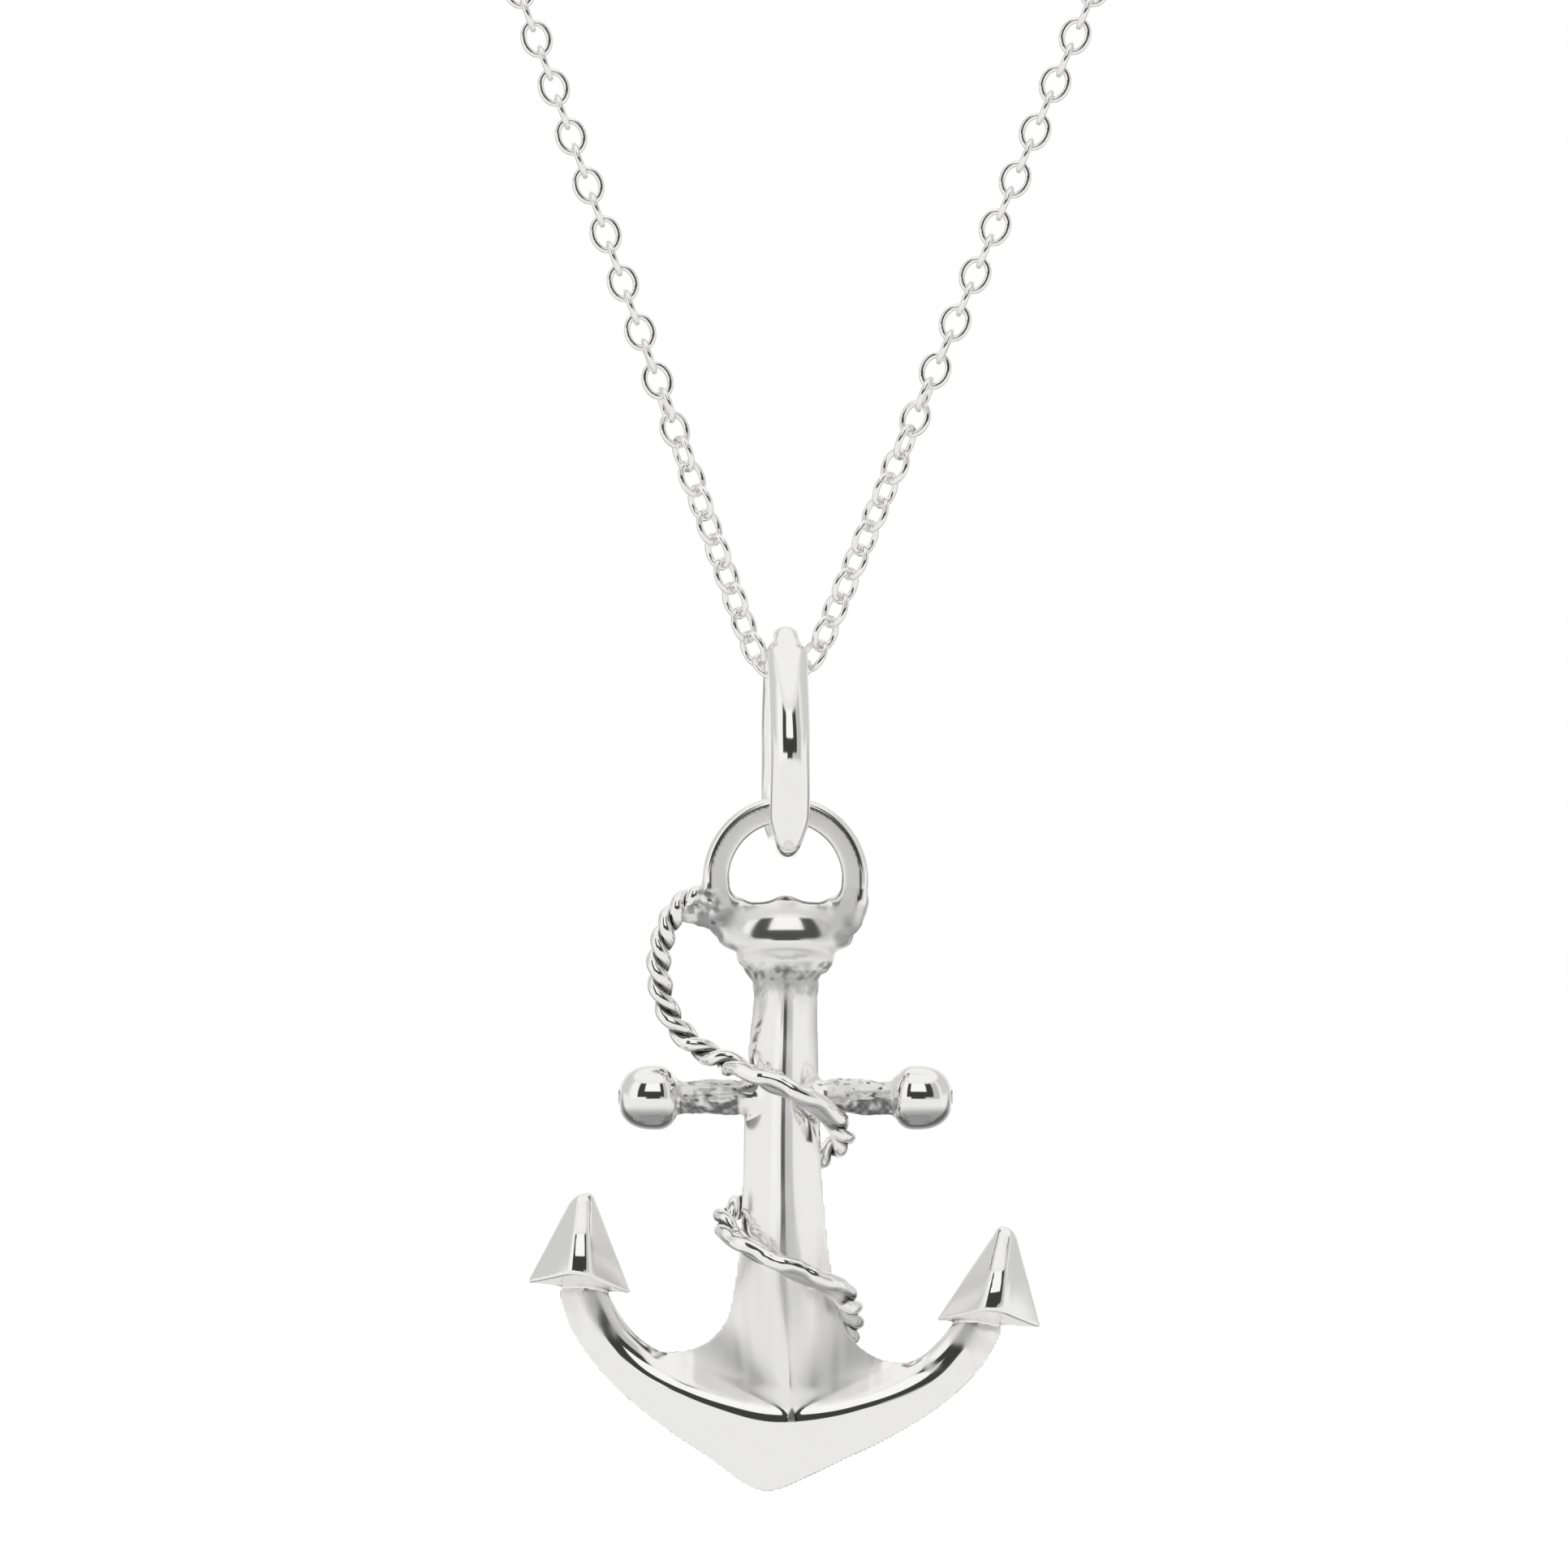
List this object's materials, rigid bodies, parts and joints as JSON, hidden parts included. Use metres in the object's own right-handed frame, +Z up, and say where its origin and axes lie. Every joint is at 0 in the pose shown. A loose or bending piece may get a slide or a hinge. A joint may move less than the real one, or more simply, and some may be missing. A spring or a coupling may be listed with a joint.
{
  "type": "anchor pendant necklace",
  "caption": "Silver anchor pendant with a twisted rope, hung by an oval bail on a fine cable chain.",
  "frame": {"origin": "centre of the clasp at the top of the chain's loop, where the necklace lies behind the neck", "axes": "+Z up, -Y is the front of the pendant, +X to the right of the picture"},
  "size_m": [0.1034, 0.0072, 0.2301],
  "materials": {
    "silver_polished": "mirror polished silver",
    "silver_chain": "polished silver wire",
    "silver_oxidised": "silver with darkened grooves"
  },
  "bodies": {
    "chain": {"chain": "silver_chain", "clasp": "silver_chain"},
    "bail": {"bail": "silver_polished"},
    "anchor": {"anchor": "silver_polished", "rope": "silver_oxidised"}
  },
  "joints": [
    {"name": "bail_swing", "type": "hinge", "parent": "chain", "child": "bail", "pos_m": [-0.00383, 0, -0.1895], "axis": [1, 0, 0], "range_deg": [-85, 85]},
    {"name": "anchor_swing", "type": "hinge", "parent": "bail", "child": "anchor", "pos_m": [-0.00383, 0, -0.19724], "axis": [-0.0523, 0.9986, 0], "range_deg": [-60, 60]}
  ]
}
